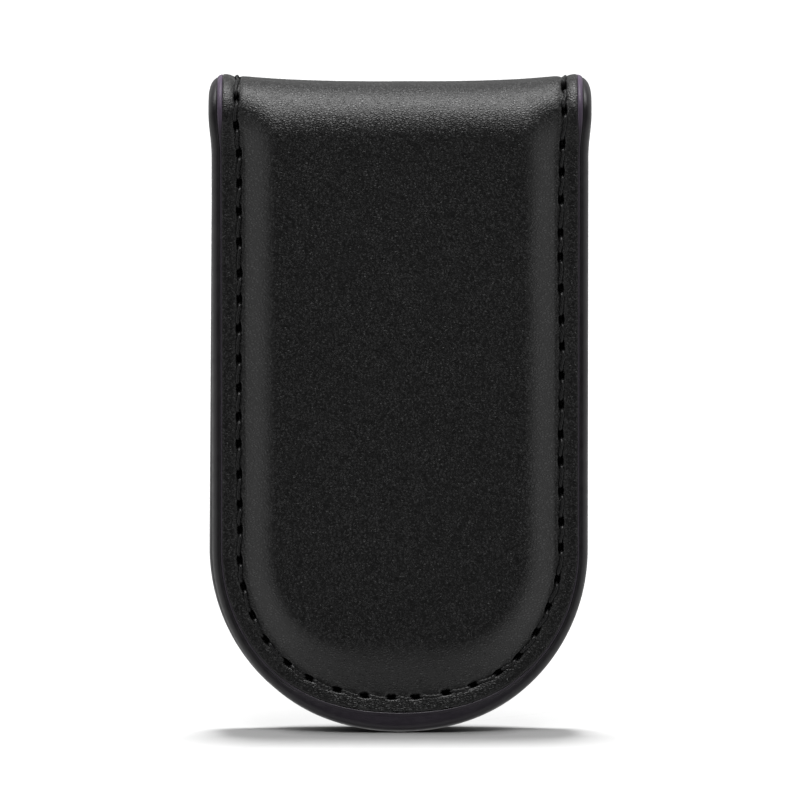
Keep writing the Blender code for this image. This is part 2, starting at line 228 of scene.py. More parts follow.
def hole_strength(loop, inset):
    """1 in the middle of a stitch hole, falling to 0 outside it."""
    nearest, along = nearest_hole(loop)
    across = inset - seam_inset(spot(loop, inset)[3]) - hole_shift[nearest]
    far = (along / HOLE_HALF_LENGTH) ** 2 + (across / HOLE_HALF_WIDTH) ** 2
    return np.exp(-far ** 2.0)


# %% [markdown]
# ## The leather's surface
# The outer leather was pressed wet over a board, so a flat pad stands out of each
# leaf. Its slope is steep and narrow along the sides and long and soft at the tip.
# Over the fold the pad melts into a round crown. All of this is one height function,
# which is easier to tune than a cage of points under a subdivision surface.

# %% Height of the outer leather
CREST_LENGTH = 6.5 * MM
RAMP_START = 3.95 * MM
SIDE_RAMP = 4.0 * MM
TIP_RAMP = 7.2 * MM
RAMP_TIP_START = 0.5 * MM           # the slope begins further in at the tip
SEAM_VALLEY = 0.22 * MM
SEAM_VALLEY_WIDTH = 0.55 * MM
RIPPLE_HEIGHT = 0.05 * MM


def crest(run):
    """Height of the pad's crest: an ellipse over the fold, then flat."""
    centre = CREST_LENGTH - FOLD_RADIUS
    turn = np.clip(-run, 0.0, 2.0 * CROWN_RUN) / FOLD_ARM
    turn = np.minimum(turn, math.pi - turn)
    wide = (np.cos(turn) / PAD_HEIGHT) ** 2 + (np.sin(turn) / CREST_LENGTH) ** 2
    lean = centre * np.sin(turn) / CREST_LENGTH ** 2
    rest = (centre / CREST_LENGTH) ** 2 - 1.0
    over_fold = (-lean + np.sqrt(lean ** 2 - wide * rest)) / wide
    left = np.clip(centre - np.maximum(run, 0.0), 0.0, CREST_LENGTH)
    down_leaf = PAD_HEIGHT * np.sqrt(1.0 - (left / CREST_LENGTH) ** 2)
    return np.where(run < 0.0, over_fold, down_leaf)


def pad_share(inset, angle):
    """0 at the seam and 1 on the pad's flat."""
    tip = tip_share(angle)
    ramp = SIDE_RAMP + (TIP_RAMP - SIDE_RAMP) * tip
    step = np.clip((inset - RAMP_START - RAMP_TIP_START * tip) / ramp, 0.0, 1.0)
    return np.sin(step * math.pi / 2.0) ** 1.2


# %% Small unevenness of worked leather
waves = rng.uniform(-1.0, 1.0, (14, 4))


def ripple(x, run):
    """Low waves of a few millimetres, from -1 to 1, the same on every run."""
    total = 0.0
    for across, along, start, turn in waves:
        length = (9.0 + 5.0 * turn) * MM
        direction = math.pi * across
        phase = (x * math.cos(direction) + run * math.sin(direction)) / length
        total = total + np.sin(2.0 * math.pi * (phase + start) + 3.0 * along)
    return total / len(waves)


# %% Outer face of the leather with its holes
COAT_LAP = 1.22 * MM                # how far the edge paint laps on to the leather
COAT_LAP_FOLD = 0.40 * MM
COAT_LAP_RUN = 4.0 * MM
COAT_LAP_TIP = 0.95 * MM
TUCK = 0.16 * MM                    # how far the leather's rim goes under the paint
TUCK_TIP = 0.40 * MM
TUCK_WIDTH = 0.25 * MM
DENT_AT = Vector((-8.3 * MM, 35.7 * MM))
DENT_DEPTH = 0.07 * MM
DENT_REACH = 0.8 * MM


def coat_lap(run, angle):
    """The paint laps further at the fold and at the tip than along the sides."""
    at_fold = COAT_LAP_FOLD * fold_share(run, COAT_LAP_RUN)
    return COAT_LAP + at_fold + COAT_LAP_TIP * tip_share(angle)


def under_paint(run, inset, angle):
    """1 where the paint covers the leather, falling to 0 inside its lap."""
    return 1.0 - ease((inset - coat_lap(run, angle)) / TUCK_WIDTH + 0.5)


def outer_height(loop, inset, side, x, run, angle):
    """Height of the grain side over the clip's middle plane."""
    margin = LEATHER_OUTER + spread(run)
    share = pad_share(inset, angle)
    height = margin + (crest(run) - margin) * share
    off_seam = (inset - seam_inset(angle)) / SEAM_VALLEY_WIDTH
    valley = SEAM_VALLEY * (1.0 - 0.85 * tip_share(angle))
    height = height - valley * np.exp(-off_seam ** 2)
    height = height + RIPPLE_HEIGHT * ripple(x + side * 40.0 * MM, run)
    tuck = TUCK + TUCK_TIP * tip_share(angle)
    height = height - tuck * under_paint(run, inset, angle)
    dent = (x - DENT_AT.x) ** 2 + (0.6 * (run - DENT_AT.y)) ** 2
    height = height - DENT_DEPTH * np.exp(-dent / DENT_REACH ** 2) * (side < 0.0)
    return height - HOLE_DEPTH * hole_strength(loop, inset)


# %% [markdown]
# ## Building a sheet
# A leaf is a grid whose columns follow the rim: from the fold down one side, round the
# tip and up the other. A strip closes the middle and one face closes the tip's centre.
# A second, coarser sheet is the flesh side, and walls join the two into a closed solid.
# Finer columns at the seam leave room for real stitch holes.

# %% Rows and columns of the sheets
ROW_STEP = 0.20 * MM
CROWN_HALF = FOLD_ARM * math.radians(30.0)      # the crown piece is 60 degrees of fold


def even_rows(start, end, step):
    """Evenly spaced places with one extra close to each end, for level shading there."""
    count = max(2, round((end - start) / step))
    rows = np.linspace(start, end, count + 1)
    return np.concatenate((rows[:1], rows[:1] + 0.03 * MM, rows[1:-1],
                           rows[-1:] - 0.03 * MM, rows[-1:]))


def leaf_rows(step):
    """Loop places of one leaf, from the crown piece round the tip and back."""
    side = even_rows(CROWN_HALF, SIDE_RUN, step)
    tip_count = 2 * round(TIP_RUN / step / 2.0)
    around = np.linspace(SIDE_RUN, SIDE_RUN + TIP_RUN, tip_count + 1)
    return np.concatenate((side, around[1:-1], HALF_LOOP - side[::-1])), len(side)


COAT_INNER = 0.75 * MM
outer_insets = np.concatenate((
    np.linspace(COAT_INNER, 2.5 * MM, 11),
    np.linspace(2.6 * MM, 3.95 * MM, 15),
    np.linspace(4.15 * MM, 12.0 * MM, 25),
    np.linspace(12.6 * MM, 21.95 * MM, 17)))
under_insets = np.array((COAT_INNER, 4.0 * MM, 6.0 * MM, 8.0 * MM, 12.0 * MM, 21.95 * MM))
print(len(leaf_rows(ROW_STEP)[0]), "rows and", len(outer_insets), "columns on a leaf")


# %% Faces of the sheets
def grid_faces(index):
    """Quads between neighbouring rows and columns of an index grid."""
    quads = np.stack((index[:-1, :-1], index[1:, :-1], index[1:, 1:], index[:-1, 1:]), axis=-1)
    return quads.reshape(-1, 4).tolist()


def leaf_faces(index, side_count):
    """Faces of a leaf's sheet: its rim grid, the middle strip and the tip's centre."""
    last = index[:, -1]
    faces = grid_faces(index)
    pair = np.stack((last[:side_count], last[::-1][:side_count]), axis=-1)
    faces += grid_faces(pair)
    faces.append(last[side_count - 1:len(last) - side_count + 1].tolist())
    return faces


def wall(first, second):
    """Quads between two lines of points."""
    return grid_faces(np.stack((first, second), axis=-1))


def end_cap(top, bottom):
    """One face between the two lines of points at a cut end."""
    return [top.tolist() + bottom[::-1].tolist()]


# %% [markdown]
# ## Pieces that bend
# The strap crosses three bending lines, and leather doesn't crease at a line: it bends
# over its whole fold. So each layer is three pieces, front, crown and back, that meet
# at 60 and 120 degrees. Each is blended across one bending line, and the share of each
# body is taken from the angle over the fold, so every layer bends by the same amount.

# %% Make a piece and blend it over its bending line
PARTS = {
    "front": ("front_leaf", "fold_front", 0.0),
    "crown": ("fold_front", "fold_back", 60.0),
    "back": ("fold_back", "back_leaf", 120.0),
}
PART_ANGLE = 60.0


def fold_angle(side, run):
    """Angle over the fold in degrees: 0 on the front leaf and 180 on the back."""
    turn = np.degrees(np.maximum(-run, 0.0) / FOLD_ARM)
    return np.where(side < 0.0, turn, 180.0 - turn)


def make_piece(name, part, points, faces, facts, finish, nodes=()):
    """A closed mesh of the strap. Facts are named values of its points."""
    data = bpy.data.meshes.new(name)
    data.from_pydata(points.reshape(-1, 3).tolist(), [], faces)
    mesh = bmesh.new()
    mesh.from_mesh(data)
    bmesh.ops.recalc_face_normals(mesh, faces=mesh.faces)
    mesh.to_mesh(data)
    mesh.free()
    data.shade_smooth()
    data.set_sharp_from_angle(angle=math.radians(62.0))
    for label, values in facts.items():
        kind, field = ("FLOAT_VECTOR", "vector") if values.ndim == 2 else ("FLOAT", "value")
        attribute = data.attributes.new(label, kind, "POINT")
        attribute.data.foreach_set(field, values.astype(np.float32).ravel())
    data.materials.append(finish)
    item = bpy.data.objects.new(name, data)
    bpy.context.scene.collection.objects.link(item)
    first, second, start = PARTS[part]
    turns = [math.radians(start), math.radians(start + PART_ANGLE)]
    line = [(0.0, -FOLD_RADIUS * math.cos(turn), FOLD_HEIGHT + FOLD_RADIUS * math.sin(turn))
            for turn in turns]
    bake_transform(item, first, second, start=line[0], end=line[1])
    share = ease((facts["over_fold"] - start) / PART_ANGLE)
    data.attributes["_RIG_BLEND"].data.foreach_set("value", share.astype(np.float32))
    if nodes:
        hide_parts(*nodes)
    print(name, len(data.vertices), "points")
    return item


def grid_facts(loop, inset, extra=None):
    """Place on the flat strap in mm, fold angle and other values of a grid's points."""
    side, x, run, angle = spot(loop, inset)
    side, x, run = np.broadcast_arrays(side, x, run)
    flat = np.stack((x, run * np.where(side < 0, 1.0, -1.0), 30.0 * MM * side), axis=-1) / MM
    facts = {"flat": flat.reshape(-1, 3), "over_fold": fold_angle(side, run).ravel()}
    for label, values in (extra or {}).items():
        facts[label] = np.broadcast_to(values, x.shape).ravel()
    return facts


def join_facts(*groups):
    """Put the point values of several grids one after another."""
    return {label: np.concatenate([group[label] for group in groups]) for label in groups[0]}


# %% [markdown]
# ## Finishes
# Every finish is made of nodes, so it has no image and no seam. The grain lies in the
# flat strap's own coordinates, carried by each point, and so it wraps round the fold
# with the leather. The bump is measured in real lengths: a wrinkle of box calf is a
# third of a millimetre wide and a few hundredths deep.

# %% Small helpers for nodes
def new_finish(name):
    """A material with its tree and its Principled shader."""
    finish = bpy.data.materials.new(name)
    finish.use_nodes = True
    return finish, finish.node_tree, finish.node_tree.nodes["Principled BSDF"]


def add_node(tree, kind, links=None, **settings):
    """A node with its settings, and links or plain values for its inputs."""
    made = tree.nodes.new(kind)
    for name, value in settings.items():
        setattr(made, name, value)
    for name, value in (links or {}).items():
        socket = made.inputs[name]
        if isinstance(value, bpy.types.NodeSocket):
            tree.links.new(value, socket)
        else:
            socket.default_value = value
    return made


def math_node(tree, operation, *values):
    """The result of a sum on one, two or three values."""
    made = add_node(tree, "ShaderNodeMath", dict(enumerate(values)), operation=operation)
    return made.outputs[0]


def noise_node(tree, vector, scale, detail=2.0, distortion=0.0):
    """A noise value around a half."""
    links = {"Vector": vector, "Scale": scale, "Detail": detail, "Distortion": distortion}
    return add_node(tree, "ShaderNodeTexNoise", links).outputs["Fac"]


def range_node(tree, value, low, high, to_low, to_high):
    """Stretch a value from one range to another."""
    links = {"Value": value, "From Min": low, "From Max": high,
             "To Min": to_low, "To Max": to_high}
    return add_node(tree, "ShaderNodeMapRange", links).outputs[0]


def mix_colours(tree, share, first, second):
    """A colour between two others."""
    made = add_node(tree, "ShaderNodeMix", data_type="RGBA")
    colours = [socket for socket in made.inputs if socket.type == "RGBA"]
    for socket, value in zip((made.inputs["Factor"], *colours), (share, first, second)):
        if isinstance(value, bpy.types.NodeSocket):
            tree.links.new(value, socket)
        else:
            socket.default_value = value
    return [socket for socket in made.outputs if socket.type == "RGBA"][0]


def attribute_node(tree, name):
    """A value carried by the points of the mesh."""
    return add_node(tree, "ShaderNodeAttribute", attribute_name=name, attribute_type="GEOMETRY")


# %% Grained leather
def leather_finish(name, valley, ridge, grain, depth, rough):
    """Leather with wrinkled grain of a size in mm and a bump depth in metres."""
    finish, tree, shader = new_finish(name)
    flat = attribute_node(tree, "flat").outputs["Vector"]
    turned = add_node(tree, "ShaderNodeMapping", {"Vector": flat, "Rotation": (0.0, 0.0, 0.7),
                                                  "Scale": (1.0, 1.45, 1.0)}).outputs[0]
    warp = add_node(tree, "ShaderNodeTexNoise", {"Vector": turned, "Scale": 0.9 / grain})
    moved = add_node(tree, "ShaderNodeVectorMath",
                     {0: warp.outputs["Color"], 1: (0.9 * grain,) * 3, 2: turned},
                     operation="MULTIPLY_ADD")
    cells = add_node(tree, "ShaderNodeTexVoronoi", {"Vector": moved.outputs[0],
                                                    "Scale": 1.0 / grain},
                     feature="DISTANCE_TO_EDGE")
    wrinkle = range_node(tree, cells.outputs["Distance"], 0.02, 0.34, 0.0, 1.0)
    fine = noise_node(tree, flat, 1.3 / grain, 1.0)
    broad = noise_node(tree, flat, 0.45, 3.0)
    relief = math_node(tree, "MULTIPLY_ADD", fine, 0.9, wrinkle)
    bump = add_node(tree, "ShaderNodeBump", {"Height": relief, "Strength": 1.0,
                                             "Distance": depth})
    tree.links.new(bump.outputs[0], shader.inputs["Normal"])
    # The wrinkles' valleys are painted far darker than the ridges: painted shade in the grain's creases. The broad
    # noise adds the leather's real mottled tone.
    raised = range_node(tree, relief, 0.45, 1.35, 0.0, 1.0)
    raised = math_node(tree, "POWER", raised, 2.0)
    mottle_and_crease_shade = math_node(tree, "MULTIPLY", raised, range_node(tree, broad, 0.3, 0.7, 0.6, 1.1))
    shade = mix_colours(tree, mottle_and_crease_shade, valley, ridge)
    # Stitch holes are painted near black: painted shade inside the deep holes.
    hole = attribute_node(tree, "hole").outputs["Fac"]
    shade = mix_colours(tree, hole, shade, (0.0006, 0.0006, 0.0006, 1.0))
    tree.links.new(shade, shader.inputs["Base Color"])
    polish = range_node(tree, raised, 0.0, 1.0, rough + 0.12, rough)
    tree.links.new(polish, shader.inputs["Roughness"])
    return finish


# The first colour is painted shade in the grain's creases, the second the ridges' own black.
outer_finish = leather_finish("black_grained_leather", (0.0002, 0.0002, 0.0002, 1.0),
                              (0.0150, 0.0150, 0.0154, 1.0), 0.34, 0.000020, 0.27)
lining_finish = leather_finish("black_lining_leather", (0.006, 0.006, 0.0062, 1.0),
                               (0.016, 0.016, 0.0165, 1.0), 0.22, 0.000008, 0.50)


# %% Edge paint
def paint_finish():
    """Plum black edge paint, even and glossier than the leather: plum on the lap and round the tip, nearly black
    on the side round, and lighter at the fold's corners as a painted highlight.
    """
    finish, tree, shader = new_finish("plum_black_edge_paint")
    flat = attribute_node(tree, "flat").outputs["Vector"]
    lap = attribute_node(tree, "lap").outputs["Fac"]
    # The lap share gives the plum tone; where it rises at the fold's corners it is a painted highlight.
    shade = mix_colours(tree, lap, (0.0045, 0.0040, 0.0050, 1.0), (0.036, 0.026, 0.043, 1.0))
    tree.links.new(shade, shader.inputs["Base Color"])
    lumps = noise_node(tree, flat, 1.1, 3.0)
    bump = add_node(tree, "ShaderNodeBump", {"Height": lumps, "Strength": 1.0,
                                             "Distance": 0.00006})
    tree.links.new(bump.outputs[0], shader.inputs["Normal"])
    tree.links.new(range_node(tree, lumps, 0.3, 0.7, 0.38, 0.50), shader.inputs["Roughness"])
    shader.inputs["Specular IOR Level"].default_value = 0.4
    return finish


# %% Waxed thread
def thread_finish():
    """Black polyester thread with a light wax, about as dark as the leather."""
    finish, tree, shader = new_finish("black_waxed_thread")
    flat = attribute_node(tree, "flat").outputs["Vector"]
    ply_crest_and_shade = attribute_node(tree, "ply_crest_and_shade").outputs["Fac"]
    fuzz = noise_node(tree, flat, 9.0, 3.0)
    # Grooves between the plies and the thread inside the holes are painted near black as shade; the crests keep
    # the thread's own black.
    shade = mix_colours(tree, ply_crest_and_shade, (0.0006, 0.0006, 0.0006, 1.0), (0.0075, 0.0075, 0.0078, 1.0))
    tree.links.new(shade, shader.inputs["Base Color"])
    bump = add_node(tree, "ShaderNodeBump", {"Height": fuzz, "Strength": 0.7,
                                             "Distance": 0.00004})
    tree.links.new(bump.outputs[0], shader.inputs["Normal"])
    tree.links.new(range_node(tree, fuzz, 0.3, 0.7, 0.30, 0.45), shader.inputs["Roughness"])
    shader.inputs["Specular IOR Level"].default_value = 0.3
    return finish


paint = paint_finish()
thread = thread_finish()
print("finishes:", [item.name for item in bpy.data.materials])

# %% [markdown]
# ## Outer leather
# This is the piece that everyone sees and touches. Its face comes from the height
# function with holes and a tucked rim, and its flesh side lies one leather thickness
# below. It could also be a subdivided cage with a displacement, but holes smaller than
# a millimetre would need far more faces that way.

# %% Leaves of a layer
def leaf_piece(name, part, layer, finish, nodes):
    """One leaf of a layer. Layer gives insets and height functions of its two faces."""
    loops, side_count = leaf_rows(layer["step"])
    if part == "back":
        loops = loops + HALF_LOOP
    points, facts, indices, start = [], [], [], 0
    for insets, height_of, hole_shade_of in (layer["face"], layer["under"]):
        loop, inset = np.meshgrid(loops, insets, indexing="ij")
        side, x, run, angle = spot(loop, inset)
        height = height_of(loop, inset, side, x, run, angle)
        points.append(place(side, x, run, height).reshape(-1, 3))
        facts.append(grid_facts(loop, inset, {"hole": hole_shade_of(loop, inset)}))
        indices.append(start + np.arange(loop.size).reshape(loop.shape))
        start += loop.size
    face, under = indices
    faces = leaf_faces(face, side_count) + leaf_faces(under, side_count)
    faces += wall(face[:, 0], under[:, 0])
    ends = [np.concatenate((grid[0], grid[-1][::-1])) for grid in (face, under)]
    faces += end_cap(*ends)
    return make_piece(name, part, np.concatenate(points), faces, join_facts(*facts),
                      finish, nodes)


def crown_piece(name, layer, finish, nodes):
    """The middle of the fold: a grid from rim to rim."""
    rows = even_rows(-CROWN_HALF, CROWN_HALF, layer["step"])
    points, facts, indices, start = [], [], [], 0
    for insets, height_of, hole_shade_of in (layer["face"], layer["under"]):
        halves = [np.meshgrid(-rows, insets, indexing="ij"),
                  np.meshgrid(HALF_LOOP + rows, insets[::-1], indexing="ij")]
        loop = np.concatenate([half[0] for half in halves], axis=1)
        inset = np.concatenate([half[1] for half in halves], axis=1)
        side, x, run, angle = spot(loop, inset)
        height = height_of(loop, inset, side, x, run, angle)
        points.append(place(side, x, run, height).reshape(-1, 3))
        facts.append(grid_facts(loop, inset, {"hole": hole_shade_of(loop, inset)}))
        indices.append(start + np.arange(loop.size).reshape(loop.shape))
        start += loop.size
    face, under = indices
    faces = grid_faces(face) + grid_faces(under)
    faces += wall(face[:, 0], under[:, 0]) + wall(face[:, -1], under[:, -1])
    faces += end_cap(face[0], under[0]) + end_cap(face[-1], under[-1])
    return make_piece(name, "crown", np.concatenate(points), faces, join_facts(*facts),
                      finish, nodes)


# %% Cut and form the outer leather
def flesh_height(loop, inset, side, x, run, angle):
    """Height of the outer leather's flesh side."""
    margin = LEATHER_OUTER + spread(run)
    height = margin + (crest(run) - margin) * pad_share(inset, angle)
    return height - LEATHER_THICKNESS


def no_hole(loop, inset):
    """A face without stitch holes."""
    return np.zeros(np.broadcast(loop, inset).shape)


outer_layer = {
    "step": ROW_STEP,
    # The third entry is the mask of painted shade in the stitch holes.
    "face": (outer_insets, outer_height, hole_strength),
    "under": (under_insets, flesh_height, no_hole),
}
leaf_piece("front_leather", "front", outer_layer, outer_finish,
           ["front_outer_leather"])
crown_piece("fold_leather", outer_layer, outer_finish,
            ["fold_front_leather", "fold_back_leather"])
leaf_piece("back_leather", "back", outer_layer, outer_finish,
           ["back_outer_leather"])

# %% [markdown]
# ## Lining
# The lining is thin smooth leather that lies against the notes. It stays flat, because
# the board is on its other side, and only the seam pulls a shallow groove in it. It is
# the same kind of sheet as the outer leather, with its good face turned inwards.

# %% Cut the lining
LINING_GROOVE = 0.16 * MM
LINING_GROOVE_WIDTH = 0.5 * MM
LINING_RIPPLE = 0.03 * MM
lining_insets = np.concatenate((
    np.linspace(COAT_INNER, 2.5 * MM, 8),
    np.linspace(2.6 * MM, 3.95 * MM, 13),
    np.linspace(4.4 * MM, 21.95 * MM, 22)))


def lining_face(loop, inset, side, x, run, angle):
    """Height of the lining's smooth face, which looks at the other leaf."""
    height = LINING_INNER + spread(run)
    off_seam = (inset - seam_inset(angle)) / LINING_GROOVE_WIDTH
    height = height + LINING_GROOVE * np.exp(-off_seam ** 2)
    height = height + LINING_RIPPLE * (1.0 + ripple(x - side * 25.0 * MM, run))
    height = height + TUCK * under_paint(run, inset, angle)
    return height + 0.5 * HOLE_DEPTH * hole_strength(loop, inset)


def lining_back(loop, inset, side, x, run, angle):
    """Height of the lining's glued side."""
    return LINING_OUTER + spread(run)


lining_layer = {
    "step": 0.30 * MM,
    "face": (lining_insets, lining_face, hole_strength),
    "under": (under_insets, lining_back, no_hole),
}
leaf_piece("front_inner_lining", "front", lining_layer, lining_finish,
           ["front_lining"])
crown_piece("fold_inner_lining", lining_layer, lining_finish,
            ["fold_front_lining", "fold_back_lining"])
leaf_piece("back_inner_lining", "back", lining_layer, lining_finish,
           ["back_lining"])

# %% [markdown]
# ## Painted edge
# The cut edges of both leathers are sanded round and sealed with several coats of
# plum black paint. A hot creaser leaves a fine line just inside the edge. The paint
# laps over that line on to the leather. A section swept round the rim makes it: one
# closed outline with a half round, a crease and a thin lap on each side.

# %% Section of the edge paint
CREASE_INSET = 1.02 * MM
CREASE_TIP_INSET = 0.70 * MM        # the edge is sanded broader at the tip
PAINT_INSIDE = 0.55 * MM
ROUND_STEPS = 16


def paint_section(run, angle):
    """Inset, height and lap share of the points round the paint's section."""
    low = LINING_INNER + spread(run)
    high = low + LEATHER_OUTER - LINING_INNER
    lap = coat_lap(run, angle)
    at_tip = tip_share(angle)
    at_fold = fold_share(run, 2.5 * MM)
    crease = CREASE_INSET + CREASE_TIP_INSET * at_tip
    # Colour share of the lap: plum paint, raised towards the fold as a painted highlight on the corners.
    colour = 0.35 + 0.65 * at_fold - 0.10 * at_tip
    rise = (0.005 + 0.035 * at_fold - 0.065 * at_tip) * MM
    square = 0.85 - 0.25 * at_fold - 0.30 * at_tip
    # The lap on the leather, then the creased line.
    outline = [(lap, high - (0.03 + 0.07 * at_tip) * MM, colour),
               (lap - 0.07 * MM, high + rise, colour),
               (0.5 * (lap + crease), high + rise, colour),
               (crease + 0.07 * MM, high - (0.01 + 0.14 * at_tip) * MM, colour),
               (crease, high - (0.13 + 0.03 * at_tip) * MM, 0.25 * at_tip),
               (crease - 0.07 * MM, high - (0.08 + 0.10 * at_tip) * MM, 0.25 * at_tip)]
    # The half round. The smaller its power, the squarer its shoulders.
    middle = (high + low) / 2.0
    half = (high - low) / 2.0 - (0.05 + 0.14 * at_tip) * MM
    for step in range(ROUND_STEPS + 1):
        turn = math.pi * step / ROUND_STEPS
        depth = crease - 0.12 * MM if turn < math.pi / 2.0 else 0.80 * MM
        outline.append((depth * (1.0 - math.sin(turn) ** square),
                        middle + half * math.cos(turn), 0.25 * at_tip))
    # The lap on the lining, and back behind the paint to the start.
    outline += [(0.92 * MM, low + 0.08 * MM, 0.0),
                (lap, low + 0.01 * MM, 0.3),
                (lap, low + 0.12 * MM, 0.0),
                (PAINT_INSIDE + 0.1 * MM, low + 0.25 * MM, 0.0),
                (PAINT_INSIDE, middle, 0.0),
                (PAINT_INSIDE + 0.1 * MM, high - 0.40 * MM - 0.3 * MM * at_tip, 0.0),
                (lap, high - 0.16 * MM, 0.0)]
    grids = [np.broadcast_arrays(inset, height, share, run)[:3]
             for inset, height, share in outline]
    return [np.stack(values, axis=-1) for values in zip(*grids)]


def paint_piece(name, part, loops, nodes=()):
    """A length of painted edge along loop places."""
    side, _, run, angle = spot(loops, 0.0)
    inset, height, share = paint_section(np.where(angle % math.pi > 0.0, TIP_CENTRE, run), angle)
    loop = np.broadcast_to(loops[:, None], inset.shape)
    side, x, run, angle = spot(loop, inset)
    points = place(side, x, run, height)
    index = np.arange(loop.size).reshape(loop.shape)
    faces = grid_faces(np.concatenate((index, index[:, :1]), axis=1))
    faces += [index[0].tolist(), index[-1].tolist()]
    facts = grid_facts(loop, inset, {"lap": share})
    return make_piece(name, part, points, faces, facts, paint, nodes)


# %% Paint the edges
rim_rows = leaf_rows(0.4 * MM)[0]
crown_rows = even_rows(-CROWN_HALF, CROWN_HALF, 0.2 * MM)
paint_piece("front_painted_edge", "front", rim_rows, ["front_edge_coat"])
paint_piece("fold_painted_edge_left", "crown", crown_rows)
paint_piece("fold_painted_edge_right", "crown", HALF_LOOP + crown_rows)
paint_piece("back_painted_edge", "back", HALF_LOOP + rim_rows, ["back_edge_coat"])

# %% [markdown]
# ## Stitching
# A lockstitch has a needle thread on the face and a bobbin thread on the lining. Each
# is one long strand that dives into every hole. Its section has three lobes that turn
# as the strand runs, which is what three twisted plies look like, so real shadows lie
# between the plies. A curve with a bevel would only give a smooth wire.

# %% Sweep a twisted strand
THREAD_RADIUS = 0.25 * MM
TWIST_LENGTH = 1.50 * MM
STRAND_SIDES = 18
STRAND_STEP = 0.11 * MM
DIVE = 0.95 * MM
DIVE_HALF = 0.44 * MM
DIVE_RUN = 0.34 * MM
RIDE = 0.06 * MM
STRAND_SLANT = 0.10 * MM            # each stitch lies a little askew
PLY_CORE = 0.64                     # depth of the grooves between the three plies


def strand_piece(name, part, first, last, facing, nodes=()):
    """A twisted strand along the seam. Facing is +1 on the grain side, -1 on the lining."""
    loops = np.linspace(first, last, round((last - first) / STRAND_STEP) + 1)
    nearest, along = nearest_hole(loops)
    pitch = LOOP / hole_count
    after, before = np.roll(hole_shift, -1)[nearest], np.roll(hole_shift, 1)[nearest]
    ahead = np.where(along > 0.0, after, before)
    between = np.abs(along) / pitch
    bow = ease(between * 2.0)
    inset = hole_shift[nearest] * (1.0 - between) + ahead * between
    slant = STRAND_SLANT * np.sin(2.0 * math.pi * along / pitch)
    inset = seam_inset(spot(loops, 0.0)[3]) + inset + slant - STRAND_SLANT * bow
    side, x, run, angle = spot(loops, inset)
    level = np.clip((np.abs(along) - DIVE_HALF) / DIVE_RUN, 0.0, 1.0)
    lift = (RIDE + DIVE) * np.sin(level * math.pi / 2.0) ** 0.9 - DIVE
    base = spread(run)
    if facing > 0:
        height = LEATHER_OUTER + base - SEAM_VALLEY + lift
    else:
        height = LINING_INNER + base + LINING_GROOVE - 0.5 * lift
    centre = place(side, x, run, height)
    tangent = np.gradient(centre, axis=0)
    tangent /= np.linalg.norm(tangent, axis=1)[:, None]
    across = place(side, *spot(loops, inset + 0.1 * MM)[1:3], height) - centre
    across -= tangent * np.sum(across * tangent, axis=1)[:, None]
    across /= np.linalg.norm(across, axis=1)[:, None]
    raised = np.cross(tangent, across)
    length = np.concatenate(((0.0,), np.cumsum(np.linalg.norm(np.diff(centre, axis=0), axis=1))))
    around = 2.0 * math.pi * np.arange(STRAND_SIDES) / STRAND_SIDES
    lobe = np.abs(np.cos(1.5 * (around[None, :] + 2.0 * math.pi * length[:, None] / TWIST_LENGTH)))
    ply_crest_and_shade = lobe ** 0.7
    radius = THREAD_RADIUS * (PLY_CORE + (1.0 - PLY_CORE) * ply_crest_and_shade)
    points = (centre[:, None, :]
              + (radius * np.cos(around))[..., None] * across[:, None, :]
              + (radius * np.sin(around))[..., None] * raised[:, None, :])
    index = np.arange(radius.size).reshape(radius.shape)
    faces = grid_faces(np.concatenate((index, index[:, :1]), axis=1))
    faces += [index[0].tolist(), index[-1].tolist()]
    loop = np.broadcast_to(loops[:, None], radius.shape)
    # The ply share, cut to nothing where the strand dives into a hole, is the mask of painted shade on the thread.
    facts = grid_facts(loop, inset[:, None] + radius * np.cos(around),
                       {"ply_crest_and_shade": ply_crest_and_shade * level[:, None]})
    facts["flat"] = points.reshape(-1, 3) / MM
    return make_piece(name, part, points, faces, facts, thread, nodes)


# %% Sew the clip
for facing, label in ((1, "needle"), (-1, "bobbin")):
    front_nodes = ["front_" + label + "_thread"]
    back_nodes = ["back_" + label + "_thread"]
    left_nodes = ["fold_front_left_thread", "fold_back_left_thread"] if facing > 0 else []
    right_nodes = ["fold_front_right_thread", "fold_back_right_thread"] if facing > 0 else []
    strand_piece("front_" + label + "_stitches", "front", CROWN_HALF,
                 HALF_LOOP - CROWN_HALF, facing, front_nodes)
    strand_piece("fold_" + label + "_stitches_left", "crown", -CROWN_HALF, CROWN_HALF,
                 facing, left_nodes)
    strand_piece("fold_" + label + "_stitches_right", "crown", HALF_LOOP - CROWN_HALF,
                 HALF_LOOP + CROWN_HALF, facing, right_nodes)
    strand_piece("back_" + label + "_stitches", "back", HALF_LOOP + CROWN_HALF,
                 LOOP - CROWN_HALF, facing, back_nodes)

# %% [markdown]
# ## Boards and magnets
# These CAD parts are sealed between the leathers, so they keep their own shapes. They
# still get finishes, because the model can be taken apart: pressed fibre board with
# short fibres, and nickel plated magnets with fine turning marks.

